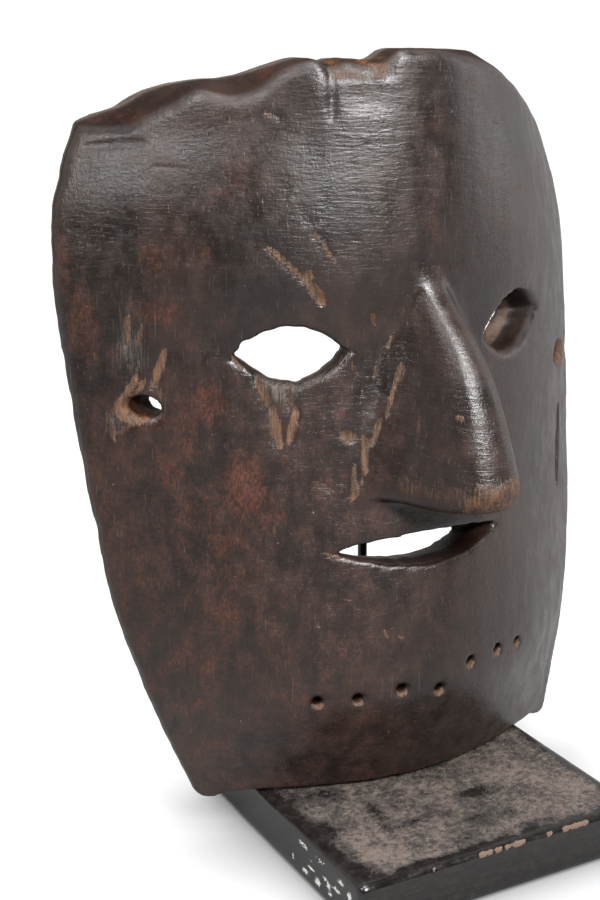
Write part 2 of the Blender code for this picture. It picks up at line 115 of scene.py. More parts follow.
# Knife marks on the outer face: (x, z) of both ends, width, depth and how bare the wood is
KNIFE_MARKS = [
    ((-40.5, 196), (-35.5, 186), 1.6, 0.35, 0.35), ((-36.5, 188), (-30.5, 178), 1.8, 0.4, 0.75),
    ((-49, 183.5), (-38.5, 172.5), 1.8, 0.6, 0.8), ((-40, 175), (-37, 174), 5.0, 0.7, 0.6),
    ((-38, 172.5), (-33.5, 165.5), 3.6, 1.2, 0.95), ((-52, 142.5), (-48, 132), 3.0, 1.0, 0.95),
    ((-48.3, 134), (-46.6, 120), 3.0, 1.0, 0.95), ((-43.5, 139), (-41.3, 131), 2.4, 0.9, 0.6),
    ((-41.3, 132.5), (-44.2, 121.5), 2.6, 0.9, 0.95), ((-50.5, 131), (-49, 123), 1.2, 0.4, 0.4),
    ((-58.3, 150), (-56, 145), 1.6, 0.5, 0.8), ((-27.5, 151), (-23.3, 150), 1.3, 0.6, 0.3),
    ((-75.8, 151), (-79.8, 138.5), 2.6, 0.8, 0.75), ((-85, 161), (-85.4, 152), 2.0, 0.6, 0.75),
    ((-81.3, 159), (-82.6, 152), 1.6, 0.5, 0.6), ((-83.2, 142.5), (-87.5, 134.5), 2.0, 0.6, 0.9),
    ((-81.5, 141), (-84.2, 136), 1.6, 0.5, 0.8), ((-79, 143), (-77.6, 132), 1.3, 0.4, 0.5),
    ((-91, 130), (-90.4, 121), 1.7, 0.5, 0.6), ((-84, 129), (-89.5, 123.5), 2.4, 0.5, 0.45),
    ((-88.5, 141), (-83.5, 143.5), 1.5, 0.4, 0.3), ((-96.5, 171), (-95, 163), 1.2, 0.4, 0.4),
    ((-73, 168), (-75, 154), 0.9, 0.25, 0.25), ((-61.5, 161), (-62.2, 150), 1.0, 0.3, 0.35),
    ((-63.8, 156), (-66.5, 148), 0.9, 0.3, 0.3), ((-69.5, 154), (-62.5, 155.8), 1.5, 0.2, 0.25),
    ((-37.5, 109.5), (-31.5, 105.8), 1.8, 0.4, 0.55), ((-36.5, 86.3), (-30, 84.2), 1.5, 0.4, 0.6),
    ((-39.6, 66), (-38.6, 61.5), 1.5, 0.4, 0.6), ((-3.9, 67), (-3, 60.5), 2.2, 0.3, 0.4),
    ((-27.5, 69), (-26.5, 66.5), 1.6, 0.3, 0.55), ((-23.3, 69), (-22, 65.5), 1.6, 0.3, 0.45),
    ((-18.8, 60), (-17.8, 57.5), 1.6, 0.3, 0.6), ((-15, 57.6), (-12.6, 56.5), 1.5, 0.3, 0.6),
    ((-17, 24.5), (-15, 22), 1.3, 0.3, 0.5), ((-24.5, 75), (-11, 76), 1.6, 0.2, 0.3),
    ((30.5, 218.8), (33, 218.2), 2.0, 0.4, 0.6), ((40.5, 197.5), (50, 195), 2.0, 0.5, 0.6),
    ((-46.5, 222.5), (-42.5, 220.5), 2.4, 0.4, 0.55), ((-39, 223), (-37, 222.3), 1.6, 0.3, 0.5),
    ((-56, 220.5), (-49, 220.2), 1.4, 0.3, 0.3), ((-82, 193), (-83, 176), 1.6, 0.25, 0.2),
    ((-80, 182), (-81.3, 173.5), 1.3, 0.25, 0.3), ((-66.5, 185), (-69, 177.5), 1.3, 0.25, 0.3),
    ((-73, 184), (-74, 175), 1.3, 0.25, 0.2), ((-71, 25.5), (-59, 27.2), 1.0, 0.2, 0.35),
    ((-78, 67), (-73, 65), 0.9, 0.2, 0.3), ((82, 113), (78.5, 84), 3.0, 1.3, 0.0),
    ((-83, 217), (-79, 220.5), 2.4, 0.9, 0.1), ((-80, 216.5), (-75.5, 219.5), 2.6, 0.9, 0.2),
    ((-89, 211.5), (-75, 213.5), 3.4, 0.9, 0.0), ((-75, 206.3), (-66, 207), 1.2, 0.3, 0.1),
    ((-10.5, 146.5), (-12.3, 140), 2.0, 0.5, 0.55), ((-12.4, 141), (-15.8, 128.5), 1.1, 0.4, 0.75),
    ((-17, 129), (-19.7, 120), 2.0, 0.6, 0.65), ((-15.2, 149.5), (-17.6, 141), 2.4, 0.5, 0.45),
    ((-12, 155), (-13.3, 150), 1.3, 0.4, 0.7), ((-13.6, 143.5), (-18.6, 130), 1.3, 0.6, 0.12),
    ((-15, 143), (-19.8, 133), 1.0, 0.4, 0.4), ((-18.8, 162.5), (-17.2, 158), 2.2, 0.6, 0.65),
    ((-24.6, 146.5), (-22.4, 142.5), 2.0, 0.4, 0.5),
    ((-21.2, 140.5), (-21.6, 135.5), 1.0, 0.3, 0.5),
    ((-28.6, 124.4), (-24.4, 122.6), 4.6, 0.8, 0.65),
    ((-21.6, 123.5), (-22.3, 111), 2.2, 0.7, 0.85), ((-25, 114.5), (-26, 103), 1.8, 0.6, 0.75),
    ((-23, 110), (-25.2, 103), 1.4, 0.5, 0.65), ((-27.8, 104.5), (-26.4, 102), 1.5, 0.3, 0.6),
    ((-9.2, 134), (-10.9, 121), 0.8, 0.3, 0.4), ((-8.7, 132), (-9.5, 124), 0.7, 0.25, 0.35),
    ((-12.5, 128), (-13.4, 119), 0.8, 0.3, 0.3), ((-2.1, 141.8), (-4.1, 138.8), 0.9, 0.4, 0.35),
    ((-3.9, 133.8), (-3.7, 132.3), 1.7, 0.3, 0.9), ((-3.2, 124), (-3.4, 121.5), 0.9, 0.2, 0.5),
    ((-5, 169.6), (-9.6, 165.5), 1.1, 0.3, 0.4), ((-9.6, 164.5), (-9.9, 160.5), 1.0, 0.3, 0.55),
    ((-14.3, 163.8), (-16.3, 160.6), 1.2, 0.3, 0.4), ((-2.4, 110.2), (0.2, 112.6), 1.3, 0.3, 0.6),
    ((1.2, 113.4), (4.2, 112.4), 1.5, 0.3, 0.75), ((4.4, 111.6), (4.6, 108.4), 1.2, 0.3, 0.6),
    ((0.4, 109.4), (2.4, 107.2), 1.5, 0.3, 0.6), ((-4.8, 108.5), (-3.2, 103), 2.0, 0.3, 0.95),
]

# Dents (+) and raised spots (-) of the outer face: centre, half-axes and depth
FACE_SPOTS = [
    ((-34, 231), (5.5, 7), -1.3), ((-20, 228), (8, 5), 0.9), ((-53, 230), (9, 4.5), 1.2),
    ((38, 203), (4, 20), -0.7), ((0, 214), (6, 14), 0.5), ((-84, 146), (4, 5), 0.8),
    ((-45, 137.5), (4, 4), 0.8),
]

# Nicks in the plate's outline: height, length and depth
RIGHT_NICKS = [(213, 2.0, 1.2), (184, 4.5, 1.6), (176, 2.2, 1.1), (130.5, 3.4, 1.7),
               (110, 3, 0.8), (98, 6, 1.0)]
LEFT_NICKS = [(201, 2.4, 0.5), (178, 3, 0.4), (146, 3, 0.4), (92, 4, 0.4)]

# Splintered wood: centre, half-axes and strength
SPLINTERS = [((-45.3, 138.2), (5.0, 4.5), 1.0), ((-84.5, 150), (4.5, 8), 0.6),
             ((-35, 141.5), (5, 1.6), 0.8), ((-85, 165), (4, 6), 0.3), ((-90, 128), (4, 4), 0.5)]

# Stains of red-brown ground showing through the patina: centre, half-axes and strength
RED_STAINS = [
    ((-57, 107), (7, 13), 1.0), ((-65, 134), (6, 8), 0.8), ((-77, 112), (7, 10), 0.55),
    ((-70, 99), (11, 12), 0.5), ((-50, 99), (8, 9), 0.6), ((-62, 90), (13, 9), 0.55),
    ((-78, 163), (9, 5), 0.6), ((-96, 158), (5, 16), 0.55), ((-94, 100), (4, 9), 0.45),
    ((-60, 80), (14, 8), 0.5), ((-64, 67), (5, 7), 0.6), ((-56, 68), (9, 7), 0.45),
    ((-75, 49), (12, 10), 0.45), ((-74, 33), (9, 6), 0.5), ((-68, 19), (8, 8), 0.4),
    ((-40, 91), (7, 6), 0.4), ((-55, 205), (5, 8), 0.4), ((-59, 199), (5, 4), 0.35),
    ((-77, 179), (5, 6), 0.5), ((-66, 181), (7, 6), 0.35), ((-85, 142), (9, 8), 0.25),
    ((-72, 126), (4, 12), 0.55), ((-80, 128), (7, 4), 0.5), ((-86, 80), (6, 14), 0.4),
    ((2, 219), (7, 8), 0.35), ((0, 190), (3, 16), 0.3), ((90, 129), (5, 3), 0.8),
    ((-100, 178), (3, 14), 0.45), ((-40, 50), (16, 10), 0.22), ((5, 60), (12, 14), 0.2),
    ((-15, 3), (22, 3), 0.45), ((36, 2), (18, 3), 0.5), ((20, 135), (5, 16), 0.35),
    ((-79, 221), (7, 3), 0.5), ((-76, 226), (3, 2), 0.7), ((-44, 235), (10, 2.5), 0.4),
]

# Stand
GAP = 0.3
WIRE_RADIUS = 1.6
CROSSBAR_STANDOFF = 5.2
POST_BEND_START = 168.0

MASK_STEP = 1.1               # spacing of the mask's field
BLOCK_STEP = 1.25


# ---- Numbers ------------------------------------------------------------------------------

def curve(stations, at):
    """Smooth curve through the stations: cubic Hermite with neighbour slopes."""
    places, values = np.array(stations, float).T
    last = len(places) - 1
    above = np.minimum(np.arange(last + 1) + 1, last)
    below = np.maximum(np.arange(last + 1) - 1, 0)
    slope = (values[above] - values[below]) / (places[above] - places[below])
    at = np.clip(at, places[0], places[-1])
    i = np.clip(np.searchsorted(places, at, side="right") - 1, 0, last - 1)
    span = places[i + 1] - places[i]
    t = (at - places[i]) / span
    return ((2 * t ** 3 - 3 * t ** 2 + 1) * values[i] + (t ** 3 - 2 * t ** 2 + t) * span * slope[i]
            + (3 * t ** 2 - 2 * t ** 3) * values[i + 1] + (t ** 3 - t ** 2) * span * slope[i + 1])


def ease(value, low, high):
    """0 at low, 1 at high, smooth between; low may be the larger."""
    t = np.clip((value - low) / (high - low), 0, 1)
    return t * t * (3 - 2 * t)


def larger(a, b, blend):
    """Maximum with a rounded corner: where both cut, the edge is rounded off."""
    near = np.maximum(blend - np.abs(a - b), 0)
    return np.maximum(a, b) + near * near / (4 * blend)


def smaller(a, b, blend):
    return -larger(-a, -b, blend)


def noise(a, b, seed):
    """Smooth noise from -1 to 1 over two coordinates, one lump per unit."""
    lattice = np.random.RandomState(seed).uniform(-1, 1, (64, 64))
    ia, ib = np.floor(a).astype(int), np.floor(b).astype(int)
    ta, tb = a - ia, b - ib
    ta, tb = ta * ta * (3 - 2 * ta), tb * tb * (3 - 2 * tb)
    low = lattice[ia % 64, ib % 64] * (1 - ta) + lattice[(ia + 1) % 64, ib % 64] * ta
    high = lattice[ia % 64, (ib + 1) % 64] * (1 - ta) + lattice[(ia + 1) % 64, (ib + 1) % 64] * ta
    return low * (1 - tb) + high * tb


def scallops(a, b, seed):
    """0 in the bottom of each gouge cut, about 1 on the ridges between the cuts."""
    jitter = np.random.RandomState(seed).uniform(-0.38, 0.38, (64, 64, 2))
    best = np.full(np.broadcast(a, b).shape, 9.0)
    ia, ib = np.floor(a).astype(int), np.floor(b).astype(int)
    for da in (-1, 0, 1):
        for db in (-1, 0, 1):
            place = jitter[(ia + da) % 64, (ib + db) % 64]
            away_a = a - ia - da - 0.5 - place[..., 0]
            away_b = b - ib - db - 0.5 - place[..., 1]
            best = np.minimum(best, away_a ** 2 + away_b ** 2)
    return np.minimum(best * 2.0, 1.2)


def stroke(x, z, start, end, width):
    """1 along a knife mark's middle, 0 outside it; both ends taper."""
    along = np.array(end, float) - start
    t = np.clip(((x - start[0]) * along[0] + (z - start[1]) * along[1]) / (along @ along), 0, 1)
    distance = np.hypot(x - start[0] - t * along[0], z - start[1] - t * along[1])
    half = width / 2 * (0.4 + 0.6 * np.sqrt(4 * t * (1 - t)))
    return np.clip(1 - (distance / half) ** 2, 0, 1)


def blob(x, z, centre, half_axes):
    return np.exp(-((x - centre[0]) / half_axes[0]) ** 2 - ((z - centre[1]) / half_axes[1]) ** 2)


# ---- Mask shape ---------------------------------------------------------------------------

def rim_y(z):
    return RIM_FOOT_Y + RIM_SLOPE * z


def half_width(x, z):
    return curve(HALF_WIDTH, z) - np.where(x < 0, -1, 1) * curve(SIDE_SHIFT, z)


def plate_y(x, z, depth=0.0, margin=None):
    """Outer face of the plate, or a face parallel to it further in."""
    if margin is None:
        margin = np.where(x < 0, *SIDE_FACE)
    centre = curve(FRONT_PROFILE, z) + depth
    reach = np.minimum(np.abs(x) / (half_width(x, z) + margin), 1.0)
    return centre + (rim_y(z) - centre) * reach ** curve(BULGE_POWER, z)


def hollow_y(x, z):
    return plate_y(x, z, WALL, -RIM_BAND)


def nose_y(x, z):
    """A rounded ridge whose flanks flare out into the cheeks."""
    half = curve(NOSE_HALF_WIDTH, z)
    centre = curve(NOSE_CENTRE, z)
    ridge = curve(NOSE_RIDGE, z)
    across = (x - centre) / half
    foot = plate_y(centre + np.where(across < 0, -half, half), z) + 1.0
    beyond = np.maximum(z - NOSE_BRIDGE_HEIGHT, 0)
    return ridge + (foot - ridge) * curve(NOSE_SECTION, np.abs(across)) + 0.12 * beyond ** 2


def front_relief(x, z):
    """How far the outer face is worn or cut below its mean surface."""
    depth = 0.30 * noise(x / 24, z / 30, 1) + 0.13 * noise(x / 9, z / 13, 2)
    forehead = ease(z, 165, 190) * ease(np.abs(x + 12), 46, 22)
    depth = depth + 0.07 * noise(x / 20 + 0.4 * noise(x / 15, z / 15, 3), z / 2.7, 4) * forehead
    depth = depth + 0.07 * noise(x / 3.2, z / 9.0, 5)
    for start, end, width, cut, _bare in KNIFE_MARKS:
        depth = depth + cut * stroke(x, z, start, end, width)
    depth = depth + 0.7 * stroke(x, z, (-29, 221), (-28.6, 240), 3.6)
    for centre, half_axes, sunk in FACE_SPOTS:
        depth = depth + sunk * blob(x, z, centre, half_axes)
    chips = ease(x, -33, -26) * ease(x, -8, -14) * ease(z, 231, 236)
    depth = depth + chips * (1.4 + 0.8 * noise(x / 2.6, z / 1.6, 6))
    splinter = blob(x, z, (-45.5, 138), (5.5, 5)) + blob(x, z, (-84.5, 150), (6, 11))
    return depth + 0.3 * splinter * noise(x / 1.3, z / 5.5, 7)


def edge_wear(x, z):
    """Nicks and unevenness of the plate's outline, taken off its half-width."""
    worn = 0.35 * noise(z / 7, x * 0 + np.where(x < 0, 3.3, 9.7), 8)
    worn = worn + 0.15 * noise(z / 2.2, x * 0 + np.where(x < 0, 5.1, 2.4), 9)
    for on_side, nicks in ((x > 0, RIGHT_NICKS), (x <= 0, LEFT_NICKS)):
        for height, length, cut in nicks:
            worn = worn + on_side * cut * np.exp(-((z - height) / length) ** 2)
    return worn


def lens(x, z, left, right, top, bottom, fray=0.0):
    """Signed distance, roughly, to a slit between two arcs; negative inside it."""
    t = (x - left[0]) / (right[0] - left[0])
    corner_z = left[1] + (right[1] - left[1]) * t
    middle = (left[1] + right[1]) / 2
    swell = 4 * t * (1 - t)
    tilt = 4 * (1 - 2 * t) / (right[0] - left[0])
    rise, fall = top - middle, middle - bottom
    upper = (z - corner_z - rise * swell) / np.sqrt(1 + (rise * tilt) ** 2)
    lower = (corner_z - fall * swell - z) / np.sqrt(1 + (fall * tilt) ** 2)
    return np.maximum(upper, lower - fray)


def eye_hole(x, v, z, eye):
    """The eye's outline on the outer face, pushed in along a turned and dropping axis.

    slope is the plate's own slope there. The outer corner closes in with depth.
    """
    turn, drop = math.radians(eye["turn"]), math.radians(EYE_DROP)
    reach = v / (math.cos(turn) + eye["slope"] * math.sin(turn))
    x0 = x + reach * math.sin(turn)
    z0 = z + reach * math.tan(drop)
    deep = np.maximum(reach, 0)
    ragged = 0.35 * noise(x0 / 2.4, z0 / 2.4, 11) + 0.2 * noise(x0 / 1.2, z0 / 1.2, 12)
    bevel = np.clip(1.8 - reach, 0, 3.0) * (0.9 + 0.5 * noise(x0 / 5, z0 / 5, 13))
    right = (eye["right"][0] - eye["close"] * deep, eye["right"][1])
    hole = lens(x0, z0, eye["left"], right, eye["top"], eye["bottom"], bevel)
    hole = hole + 0.15 * eye["close"] * deep + ragged
    return hole - 1.6 * blob(x0, z0, (-55.3, 153.4), (1.3, 1.0)) \
        - 1.2 * blob(x0, z0, (-40.3, 141.2), (1.2, 1.6))


def mouth_hole(x, y, z):
    outside = plate_y(MOUTH_OUTSIDE["right"], MOUTH_CORNER_HEIGHT)
    inside = hollow_y(0, MOUTH_CORNER_HEIGHT)
    inward = np.clip((y - outside) / (inside - outside), 0, 1.2)
    size = {key: MOUTH_OUTSIDE[key] + (MOUTH_INSIDE[key] - MOUTH_OUTSIDE[key]) * inward
            for key in MOUTH_OUTSIDE}
    corner = (size["top"] + size["bottom"]) / 2
    corner = corner + (MOUTH_CORNER_HEIGHT - corner) * (1 - np.minimum(inward, 1))
    hole = lens(x, z, (size["left"], corner), (size["right"], corner), size["top"], size["bottom"])
    return hole + 0.25 * noise(x / 3, z / 3 + y / 6, 14)


def round_hole(x, v, z, centre, radius, turn, depth, mouth):
    """A drilled hole whose entry is worn wider, most at its lower lip."""
    angle = math.radians(turn)
    across = (x - centre[0]) * math.cos(angle) + v * math.sin(angle)
    across = np.hypot(across, z - centre[1])
    low_lip = np.clip((centre[1] + 0.4 * radius - z) / radius, 0, 1)
    worn = np.clip(mouth - v, 0, 2 * mouth) * (0.25 + 0.75 * low_lip)
    return np.maximum(across - radius - worn, v - depth)


def mask_field(x, v, z):
    """Negative in the wood. x, v and z broadcast to a block of points."""
    face = plate_y(x, z)
    y = face + v
    tilt_x, tilt_z = np.gradient(face[:, 0, :], MASK_STEP)
    steep = np.sqrt(1 + tilt_x ** 2 + tilt_z ** 2)[:, None, :]
    front = (front_relief(x, z) - v) / steep
    inner = hollow_y(x, z) - face
    cuts = 0.9 * (1 - scallops(x / 9.5 + 0.15 * noise(x / 20, z / 20, 21), z / 24, 20))
    cuts = cuts + 0.25 * noise(x / 12, z / 16, 22)
    in_hollow = ease(np.abs(x), half_width(x, z) - RIM_BAND + 1, half_width(x, z) - RIM_BAND - 4)
    in_hollow = in_hollow * ease(z, -6, 8)
    back = (v - inner + (cuts * in_hollow + 0.15 * noise(x / 6, z / 6, 23))) / steep
    side = np.abs(x) - half_width(x, z) + edge_wear(x, z)
    top = z - curve(TOP_EDGE, x) + 0.25 * noise(x / 3.5, v / 6, 24)
    chamfer = (front + top) / math.sqrt(2) + curve(TOP_CHAMFER, x) / math.sqrt(2)
    bottom = curve(BOTTOM_EDGE, x) + 0.12 * noise(x / 5, v / 6, 25) - z

    wood = larger(front, chamfer, 1.6)
    wood = larger(wood, top, 2.0)
    wood = larger(wood, back, 1.8)
    outline = larger(side, bottom, 4.5)
    wood = larger(wood, outline, 0.9)

    nose = larger((nose_y(x, z) + 0.10 * noise(x / 5, z / 8, 26) - y) * 0.62,
                  NOSE_BASE_HEIGHT + 0.3 * noise(x / 9, y / 9, 27) - z, 3.2)
    nose = np.maximum(nose, v - 6)
    across = np.abs(x - curve(NOSE_CENTRE, z))
    nose = larger(nose, across - 1.08 * curve(NOSE_HALF_WIDTH, z), 2.0)
    nose = larger(nose, (z - NOSE_BRIDGE_HEIGHT - 3.0) * 0.8, 2.0)
    for start, end, width, cut, _bare in KNIFE_MARKS:
        nose = nose + 0.6 * cut * stroke(x, z, start, end, width)
    wood = smaller(wood, nose, 2.2)
    (_, hollow_at, hollow_z), axes = NOSE_HOLLOW
    scoop = np.sqrt((x / axes[0]) ** 2 + ((y - hollow_at) / axes[1]) ** 2
                    + ((z - hollow_z) / axes[2]) ** 2)
    wood = larger(wood, (1 - scoop) * axes[0] - 0.5 * noise(x / 6, z / 9, 28), 3.0)

    for eye in (LEFT_EYE, RIGHT_EYE):
        near = np.flatnonzero(np.abs(x[:, 0, 0] - eye["left"][0] / 2 - eye["right"][0] / 2) < 42)
        part = slice(near[0], near[-1] + 1)
        hole = eye_hole(x[part], v, z, eye)
        wood[part] = larger(wood[part], -hole, 0.9)
    wood = larger(wood, -mouth_hole(x, y, z), 1.2)
    for place in WHISKER_HOLES:
        hole = round_hole(x, v, z, place, WHISKER_RADIUS, 0, WHISKER_DEPTH, 1.1)
        wood = larger(wood, -hole, 0.5)
    for side_sign in (-1, 1):
        hole = round_hole(x, v, z, (side_sign * CORD_HOLE[0], CORD_HOLE[1]), CORD_RADIUS,
                          side_sign * CORD_TURN, 40, 2.0)
        wood = larger(wood, -hole, 0.8)
    return wood


def surface_net(field):
    """Quads round the field's zero level, as points in grid units and rows of four indices."""
    inside = field < 0
    cells = tuple(n - 1 for n in field.shape)
    total = np.zeros(cells + (3,))
    count = np.zeros(cells)
    for axis in range(3):
        others = [k for k in range(3) if k != axis]
        for step_a in (0, 1):
            for step_b in (0, 1):
                start = [slice(0, n) for n in cells]
                start[others[0]] = slice(step_a, step_a + cells[others[0]])
                start[others[1]] = slice(step_b, step_b + cells[others[1]])
                end = list(start)
                end[axis] = slice(1, 1 + cells[axis])
                near, far = field[tuple(start)], field[tuple(end)]
                crossed = (near < 0) != (far < 0)
                share = near / np.where(crossed, near - far, 1)
                total[..., axis] += np.where(crossed, share, 0)
                total[..., others[0]] += crossed * step_a
                total[..., others[1]] += crossed * step_b
                count += crossed
    used = count > 0
    number = np.full(cells, -1)
    number[used] = np.arange(used.sum())
    points = np.argwhere(used) + total[used] / count[used][:, None]

    quads = []
    for axis in range(3):
        a, b = [k for k in range(3) if k != axis]
        start = [slice(1, -1)] * 3
        start[axis] = slice(0, -1)
        end = list(start)
        end[axis] = slice(1, None)
        crossed = inside[tuple(start)] != inside[tuple(end)]
        place = np.argwhere(crossed)
        place[:, a] += 1
        place[:, b] += 1
        leaving = inside[tuple(place.T)]
        corners = []
        for back_a, back_b in ((1, 1), (0, 1), (0, 0), (1, 0)):
            cell = place.copy()
            cell[:, a] -= back_a
            cell[:, b] -= back_b
            corners.append(number[tuple(cell.T)])
        quad = np.stack(corners, 1)
        flip = leaving if axis == 1 else ~leaving
        quad[flip] = quad[flip][:, ::-1]
        quads.append(quad)
    return points, np.concatenate(quads)


def biggest_part(points, quads):
    """Keep the largest connected surface and drop loose crumbs."""
    label = np.arange(len(points))
    while True:
        lowest = label[quads].min(1)
        after = label.copy()
        for k in range(4):
            np.minimum.at(after, quads[:, k], lowest)
        after = after[after]
        if np.array_equal(after, label):
            break
        label = after
    names, sizes = np.unique(label, return_counts=True)
    keep = label == names[np.argmax(sizes)]
    renumber = np.cumsum(keep) - 1
    return points[keep], renumber[quads[keep[quads[:, 0]]]]


def make_object(name, points, faces, finish):
    """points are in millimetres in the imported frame."""
    mesh = bpy.data.meshes.new(name)
    mesh.from_pydata((np.asarray(points) * MM).tolist(), [], faces)
    mesh.validate()
    mesh.shade_smooth()
    mesh.materials.append(finish)
    made = bpy.data.objects.new(name, mesh)
    bpy.context.scene.collection.objects.link(made)
    return made


def paint(piece, **layers):
    """Store one number per vertex under each name, for the materials to read."""
    for name, values in layers.items():
        layer = piece.data.attributes.new(name, "FLOAT", "POINT")
        layer.data.foreach_set("value", np.asarray(values, np.float32))


def mask_layers(x, v, z, face_share):
    """Wear of each kind at the mask's vertices, 0 to 1, with a painted sheen in the grey film."""
    bare = np.zeros_like(x)
    for start, end, width, _cut, share in KNIFE_MARKS:
        bare = np.maximum(bare, share * np.sqrt(stroke(x, z, start, end, width * 1.15)))
    chips = ease(x, -30, -27) * ease(x, -9.5, -13) * ease(z, 231.8, 233)
    bare = np.maximum(bare, chips * (0.5 + 0.3 * noise(x / 3, z / 1.4, 31)))
    low_edge = ease(z, 117.0 + 0.12 * np.clip(x, -10, 25), 111.0) * ease(v, -3, -8)
    nose_edge = low_edge * (0.30 + 0.65 * ease(x, -12, 4))
    bare = np.maximum(bare, nose_edge * (0.9 + 0.5 * noise(x / 3.5, z / 3, 32)))
    for place in WHISKER_HOLES:
        lip = np.hypot(x - place[0], z - place[1] + 1.4)
        bare = np.maximum(bare, 0.75 * ease(lip, 2.6, 1.2) * ease(v, 4.0, 1.0))
    for side in (-1, 1):
        lip = np.hypot(x - side * CORD_HOLE[0] - side * 1.6, z - CORD_HOLE[1] + 1.2)
        bare = np.maximum(bare, 0.95 * ease(lip, 6.0, 4.0) * ease(v, 4.5, 2.0))
    bare = bare * face_share

    red = np.zeros_like(x)
    for centre, axes, share in RED_STAINS:
        red = np.maximum(red, share * blob(x, z, centre, axes))
    red = red + 0.35 * nose_edge
    general = 0.28 * ease(z, 190, 120) * ease(x, 10, -30)
    red = np.clip(np.maximum(red, general), 0, 1) * face_share

    splinter = sum(share * blob(x, z, centre, axes) for centre, axes, share in SPLINTERS)
    ledge = ease(v, 0.2, 2.0) * ease(v, 9.0, 5.0) * blob(x, z, (-42, 141.5), (14, 2.5))
    splinter = np.clip(splinter + ledge, 0, 1) * face_share

    # Grey film over the patina, partly dust and partly painted sheen: the right side is painted
    # lighter where light glances off it, and the forehead where its highlight falls.
    haze_and_painted_sheen = 0.35 * ease(x, 10, 70) + 0.2 * ease(z, 165, 225) * ease(x, -20, -60)
    haze_and_painted_sheen = haze_and_painted_sheen + 0.25 * ease(z, 225, 240) + 0.2 * blob(x, z, (-20, 190), (16, 40))
    haze_and_painted_sheen = haze_and_painted_sheen + 0.6 * ease(z, 55, 15)
    ripple = ease(z, 160, 185) * ease(np.abs(x + 14), 44, 20) + 0.8 * ease(v, -4, -12)
    sunk = ease(v, 0.5, 3.5) * face_share
    return {"bare": bare, "red": red, "splinter": splinter, "haze_and_painted_sheen": np.clip(haze_and_painted_sheen, 0, 1),
            "ripple": ripple, "sunk": sunk}


def carved_mask(finish):
    xs = np.arange(-104.0, 103.0, MASK_STEP)[:, None, None]
    vs = np.arange(-46.0, 24.0, MASK_STEP)[None, :, None]
    zs = np.arange(-8.0, 246.0, MASK_STEP)[None, None, :]
    points, quads = surface_net(mask_field(xs, vs, zs))
    points, quads = biggest_part(points, quads)
    x, v, z = (points * MASK_STEP + (xs.min(), vs.min(), zs.min())).T
    y = plate_y(x, z) + v
    mask = make_object("carved_mask", np.stack([x, y, z + BASE_TOP], 1), quads.tolist(), finish)
    inner = hollow_y(x, z) - plate_y(x, z)
    face_share = ease(v, 0.75 * inner, 0.4 * inner)
    paint(mask, face=face_share, **mask_layers(x, v, z, face_share))
    return mask


# ---- Node graphs --------------------------------------------------------------------------

class Finish:
    """A material's node graph; coordinates are the object's own, in millimetres."""

    def __init__(self, name):
        self.material = bpy.data.materials.new(name)
        self.material.use_nodes = True
        self.tree = self.material.node_tree
        self.shader = self.tree.nodes["Principled BSDF"]
        place = self.add("ShaderNodeTexCoord").outputs["Object"]
        scaled = self.add("ShaderNodeVectorMath", {0: place, "Scale": 1 / MM}, operation="SCALE")
        self.mm = scaled.outputs[0]

    def add(self, kind, inputs=None, **settings):
        made = self.tree.nodes.new(kind)
        for key, value in settings.items():
            setattr(made, key, value)
        for key, value in (inputs or {}).items():
            self.put(made.inputs[key], value)
        return made

    def put(self, socket, value):
        if isinstance(value, bpy.types.NodeSocket):
            self.tree.links.new(value, socket)
        elif isinstance(value, tuple) and len(value) == 3 and socket.type == "RGBA":
            socket.default_value = (*value, 1.0)
        else:
            socket.default_value = value

    def set(self, **inputs):
        for key, value in inputs.items():
            self.put(self.shader.inputs[key.replace("_", " ")], value)

    def sum(self, *terms):
        """Add numbers, sockets and (socket, factor) pairs."""
        total = 0.0
        for term in terms:
            if isinstance(term, tuple):
                total = self.add("ShaderNodeMath", {0: term[0], 1: term[1], 2: total},
                                 operation="MULTIPLY_ADD").outputs[0]
            else:
                total = self.add("ShaderNodeMath", {0: term, 1: total}, operation="ADD").outputs[0]
        return total

    def times(self, a, b):
        return self.add("ShaderNodeMath", {0: a, 1: b}, operation="MULTIPLY").outputs[0]

    def ramp(self, value, low, high, out_low=0.0, out_high=1.0):
        return self.add("ShaderNodeMapRange", {0: value, 1: low, 2: high, 3: out_low, 4: out_high},
                        interpolation_type="SMOOTHSTEP").outputs[0]

    def mix(self, share, a, b):
        return self.add("ShaderNodeMix", {0: share, 6: a, 7: b}, data_type="RGBA").outputs[2]

    def lumps(self, across, along=None, detail=3.0, roughness=0.55, turn=(0, 0, 0), warp=0.0,
              shift=0.0):
        """Noise whose lumps are across wide (x and y) and along tall (z), in millimetres."""
        along = along or across
        size = (1 / across, 1 / across, 1 / along)
        mapped = self.add("ShaderNodeMapping", {"Vector": self.mm, "Scale": size, "Rotation": turn,
                                                "Location": (shift, shift, shift)})
        return self.add("ShaderNodeTexNoise", {"Vector": mapped.outputs[0], "Scale": 1.0,
                                               "Detail": detail, "Roughness": roughness,
                                               "Distortion": warp}).outputs[0]

    def spots(self, spacing, radius):
        """Small round dots at scattered places; radius is a share of the spacing."""
        mapped = self.add("ShaderNodeVectorMath", {0: self.mm, "Scale": 1 / spacing},
                          operation="SCALE")
        cells = self.add("ShaderNodeTexVoronoi", {"Vector": mapped.outputs[0], "Scale": 1.0})
        return self.ramp(cells.outputs["Distance"], radius, radius * 0.6)

    def layer(self, name):
        return self.add("ShaderNodeAttribute", attribute_name=name).outputs["Fac"]

    def bump(self, *heights):
        """Each height is (socket, depth in millimetres)."""
        normal = None
        for height, depth in heights:
            inputs = {"Height": height, "Strength": 1.0, "Distance": depth * MM}
            if normal:
                inputs["Normal"] = normal
            normal = self.add("ShaderNodeBump", inputs).outputs[0]
        self.put(self.shader.inputs["Normal"], normal)


